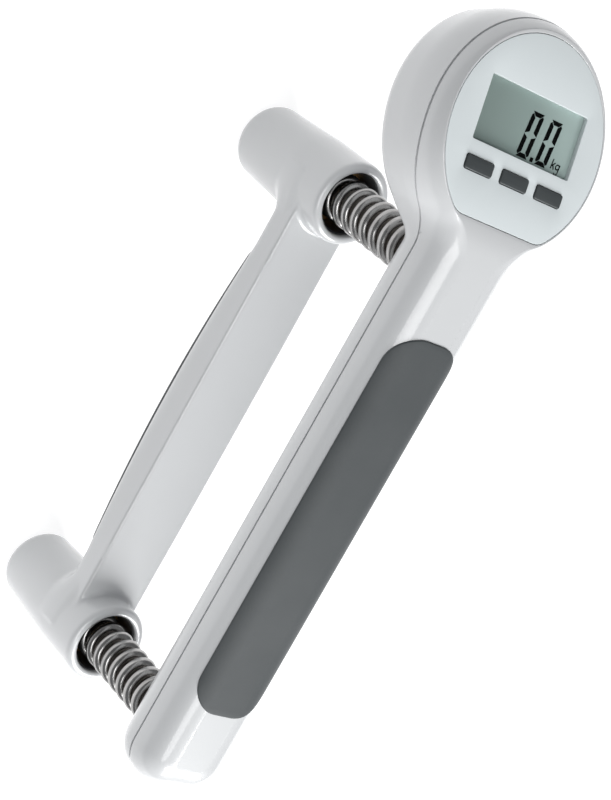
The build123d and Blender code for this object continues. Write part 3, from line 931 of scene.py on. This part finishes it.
def belly_field(x, y, z, out):
    """The bar's finger side, moved outwards."""
    depth = np.maximum(BELLY_DEPTH - BELLY_BOW * (y - BAR_PAD_Y) ** 2, BELLY_LEAST) + out
    below = np.minimum(z - BELLY_Z, 0)
    width = BELLY_HALF_WIDTH + out
    return (np.hypot(x / width, below / depth) - 1) * depth


def bar_field(x, y, z):
    middle = sum(SOCKETS.values()) / 2
    half = SOCKETS["upper"] - middle
    section = round_max(np.abs(x) - BAR_HALF_WIDTH, z - BAR_FACE_Z, 0.7)
    section = round_max(section, belly_field(x, y, z, 0.0), 1.0)
    return np.maximum(section, np.abs(y - middle) - half)


def pull_bar_field(points):
    """Distance to the pull bar's surface, less than 0 inside it."""
    x, y, z = points.T
    solid = bar_field(x, y, z)
    fillet = 1.2 + 2.6 * blend_in(-z, -BAR_FACE_Z + 1.0, -BAR_FACE_Z + 4.0)
    for centre in SOCKETS.values():
        solid = -round_max(-solid, -socket_field(x, y, z, centre), fillet)
    for centre in SOCKETS.values():
        radius = np.hypot(x, y - centre)
        pocket = np.maximum(radius - SPRING_BORE, SPRING_SEAT_Z - z)
        opening = np.minimum(pocket, radius - CHAMBER_BORE)
        solid = round_max(solid, -opening, 0.8)
    return solid


def bar_pad_field(points):
    x, y, z = points.T
    across = np.maximum(np.abs(x) - BAR_PAD_HALF_WIDTH + BAR_PAD_CORNER, 0)
    along = np.maximum(np.abs(y - BAR_PAD_Y) - BAR_PAD_HALF_LENGTH + BAR_PAD_CORNER, 0)
    outline = np.hypot(across, along) - BAR_PAD_CORNER
    outline = np.maximum(outline, z - BELLY_Z)
    skin = round_max(belly_field(x, y, z, PAD_PROUD), outline, 0.25)
    return np.maximum(skin, -belly_field(x, y, z, -BAR_PAD_DEPTH))


def surface_of(field, low, high, step):
    """Quads over the surface where the field is zero, drawn onto it exactly."""
    axes = [np.arange(a, b + step, step) for a, b in zip(low, high)]
    size = [len(axis) for axis in axes]
    grid = np.stack(np.meshgrid(*axes, indexing="ij"), -1).reshape(-1, 3)
    value = field(grid).reshape(size)
    cells = [n - 1 for n in size]
    total = np.zeros((*cells, 3))
    count = np.zeros(cells)
    quads = []
    for axis in range(3):
        near = np.take(value, range(size[axis] - 1), axis)
        far = np.take(value, range(1, size[axis]), axis)
        index = np.argwhere((near < 0) != (far < 0))
        start, end = near[tuple(index.T)], far[tuple(index.T)]
        crossing = index.astype(float)
        crossing[:, axis] += start / (start - end)
        second, third = (axis + 1) % 3, (axis + 2) % 3
        around = []
        for shift_second, shift_third in ((0, 0), (-1, 0), (-1, -1), (0, -1)):
            cell = index.copy()
            cell[:, second] += shift_second
            cell[:, third] += shift_third
            np.add.at(total, tuple(cell.T), crossing)
            np.add.at(count, tuple(cell.T), 1)
            around.append(np.ravel_multi_index(tuple(cell.T), cells))
        quads.append(np.stack(around, 1))
    quads = np.concatenate(quads)
    used, faces = np.unique(quads, return_inverse=True)
    points = (total.reshape(-1, 3)[used] / count.reshape(-1)[used][:, None]) * step + low
    faces = faces.reshape(-1, 4)
    for _ in range(4):
        points = settle(points, faces, field, step)
    return points, faces


def settle(points, faces, field, step):
    """Evens out the points, then puts them back on the surface."""
    total, count = np.zeros_like(points), np.zeros(len(points))
    for corner in range(4):
        for other in (corner - 1, (corner + 1) % 4):
            np.add.at(total, faces[:, corner], points[faces[:, other]])
            np.add.at(count, faces[:, corner], 1)
    points = points + 0.5 * (total / count[:, None] - points)
    reach = 0.04
    for _ in range(3):
        slope = np.zeros_like(points)
        for axis in range(3):
            shift = np.zeros(3)
            shift[axis] = reach
            slope[:, axis] = (field(points + shift) - field(points - shift)) / (2 * reach)
        size = np.maximum((slope ** 2).sum(1), 0.2)
        move = -(field(points) / size)[:, None] * slope
        length = np.linalg.norm(move, axis=1, keepdims=True)
        points = points + move * np.minimum(1, 0.5 * step / np.maximum(length, 1e-9))
    return points


def drawn(name, field, low, high, step):
    form = Form()
    points, faces = surface_of(field, np.array(low), np.array(high), step)
    form.add(points)
    form.faces = faces.tolist()
    return mesh_of(name, form)


def build_bar():
    step = 0.55
    low = (-13.0, SOCKETS["lower"] - 13, -1.6)
    high = (13.0, SOCKETS["upper"] + 13, SOCKET_TOP + 1.6)
    link("pull_bar_frame", drawn("pull_bar_frame", pull_bar_field, low, high, step), WHITE,
         "pull_bar", ["bar_frame"], sharp=50.0)
    low = (-11.0, BAR_PAD_Y - BAR_PAD_HALF_LENGTH - 1.5, BELLY_Z - BELLY_DEPTH - 2)
    high = (11.0, BAR_PAD_Y + BAR_PAD_HALF_LENGTH + 1.5, BELLY_Z + 1)
    link("pull_bar_pad", drawn("pull_bar_pad", bar_pad_field, low, high, 0.45), GRIP_RUBBER,
         "pull_bar", ["bar_pad"], sharp=50.0)


# Section of the dark sleeve in each socket's bore, a painted-shade sheet where the bore is only in
# shadow.
SHADE_SLEEVE_SECTION = [
    (8.7, SPRING_SEAT_Z + 2), (8.7, 42.0), (8.45, 42.2), (8.3, 42.0), (8.3, SPRING_SEAT_Z + 2),
]


def build_shade_sleeves():
    """A dark sleeve lines each socket's bore around the spring: painted shade, a dark sheet standing in
    for the shadow deep in the bore.
    """
    for name, y in SOCKETS.items():
        form = Form()
        rows = []
        for radius, z in SHADE_SLEEVE_SECTION:
            loop = circle(radius, 0, y, 72)
            rows.append(np.column_stack([loop, np.full(72, z)]))
        first, last = form.rings(rows)
        form.bridge(last, first)
        link(f"socket_shade_sleeve_{name}", mesh_of(f"socket_shade_sleeve_{name}", form), BLACK, "pull_bar",
             ())


# ---- Springs -----------------------------------------------------------------------
def spring_form(y):
    """A compression spring with closed ends ground flat."""
    closed_turns = 0.8
    around, per_turn = 20, 40
    count = int(SPRING_TURNS * per_turn) + 1
    turn = np.linspace(0, SPRING_TURNS, count)
    low, high = SPRING_LOW + WIRE_RADIUS * 0.6, SPRING_HIGH - WIRE_RADIUS * 0.6
    end_pitch = 2 * WIRE_RADIUS + 0.05
    last_open = SPRING_TURNS - closed_turns
    rise = 1 - (blend_in(-turn, -closed_turns - 0.5, -closed_turns) +
                blend_in(turn, last_open - 0.5, last_open))
    opened = np.concatenate([[0], np.cumsum((rise[1:] + rise[:-1]) / 2)])
    open_share = opened / opened[-1]
    closed_rise = (turn - opened / per_turn) * end_pitch
    height = low + closed_rise + (high - low - closed_rise[-1]) * open_share
    coil = SPRING_OUTER - WIRE_RADIUS
    angle = turn * math.tau
    form = Form()
    rows = []
    ring = np.linspace(0, math.tau, around, endpoint=False)
    for a, z in zip(angle, height):
        reach = coil + WIRE_RADIUS * np.cos(ring)
        level = np.clip(z + WIRE_RADIUS * np.sin(ring), SPRING_LOW, SPRING_HIGH)
        rows.append(np.stack([reach * math.cos(a), y + reach * math.sin(a), level], 1))
    first, last = form.rings(rows)
    form.faces.append(first.tolist())
    form.faces.append(last.tolist())
    return form


def build_springs():
    for name, y in SOCKETS.items():
        piece = link(f"coil_{name}", mesh_of(f"coil_{name}", spring_form(y)), CHROME, "pull_bar",
                     [f"spring_{name}"], sharp=60.0)
        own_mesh(piece)


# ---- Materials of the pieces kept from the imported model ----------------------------
KEPT = {
    "white_plastic": WHITE,
    "grip_rubber": GRIP_RUBBER,
    "button_rubber": BUTTON_RUBBER,
    "window": WINDOW,
    "display": PANEL,
    "black_plastic": BLACK,
    "board": BOARD,
    "chrome": CHROME,
    "steel": STEEL,
    "aluminium": ALUMINIUM,
    "bronze": BRONZE,
    "contact_metal": CONTACT,
    "cell_jacket": JACKET,
    "wire_jacket": WIRE_JACKET,
}


SPECIAL = {"display_frame": BEZEL, "guide_rod_upper": ROD, "guide_rod_lower": ROD}


def dress_kept_nodes():
    slots = {part["node"]: part["material_slot"] for part in frame["record"]["subparts"]}
    for name, node in nodes.items():
        material = SPECIAL.get(name, KEPT[slots[name]])
        node.data.materials.clear()
        node.data.materials.append(material)


# ---- Studio ------------------------------------------------------------------------
def build_studio():
    bpy.ops.mesh.primitive_plane_add(size=12, location=(0, 0, 0))
    floor = bpy.context.object
    floor.name = "studio_floor"
    pale = moulded(
        "studio_floor", (0.40, 0.40, 0.405), (0.41, 0.41, 0.415), 0.9, 20, 0.01,
        Emission_Color=(1.0, 1.0, 1.0, 1.0), Emission_Strength=0.8, Specular_IOR_Level=0.0,
    )
    floor.data.materials.append(pale)
    lamps = [
        ("overhead", (-0.30, -0.25, 1.4), 0.8, 9.5),
        ("right", (0.65, -1.0, 0.95), 0.8, 24.0),
    ]
    for name, place, size, power in lamps:
        light = bpy.data.lights.new(name, "AREA")
        light.size = size
        light.energy = power
        lamp = bpy.data.objects.new(name, light)
        lamp.location = place
        lamp.rotation_mode = "QUATERNION"
        lamp.rotation_quaternion = (Vector((0, 0, 0.06)) - Vector(place)).to_track_quat("-Z", "Y")
        bpy.context.scene.collection.objects.link(lamp)
    world = bpy.data.worlds.new("studio")
    world.use_nodes = True
    world.node_tree.nodes["Background"].inputs["Color"].default_value = (0.95, 0.97, 1.0, 1.0)
    world.node_tree.nodes["Background"].inputs["Strength"].default_value = 0.25
    bpy.context.scene.world = world
    bpy.context.scene.view_settings.view_transform = "Standard"


def build_camera():
    data = bpy.data.cameras.new("camera")
    data.sensor_width = 36.0
    data.lens = 111.53
    camera = bpy.data.objects.new("camera", data)
    away = Vector((-0.6607, 0.2099, 0.7207)).normalized()
    right = Vector((0.7115, 0.481, 0.5122))
    right = (right - away * right.dot(away)).normalized()
    up = away.cross(right)
    turn = Matrix((right, up, away)).transposed().to_4x4()
    camera.matrix_world = Matrix.Translation((-0.41387, 0.12595, 0.51534)) @ turn
    bpy.context.scene.collection.objects.link(camera)
    bpy.context.scene.camera = camera


build_camera()
build_casing()
build_grip_pad()
build_plate()
build_buttons()
build_door()
build_figures()
build_bar()
build_shade_sleeves()
build_springs()
dress_kept_nodes()
build_studio()
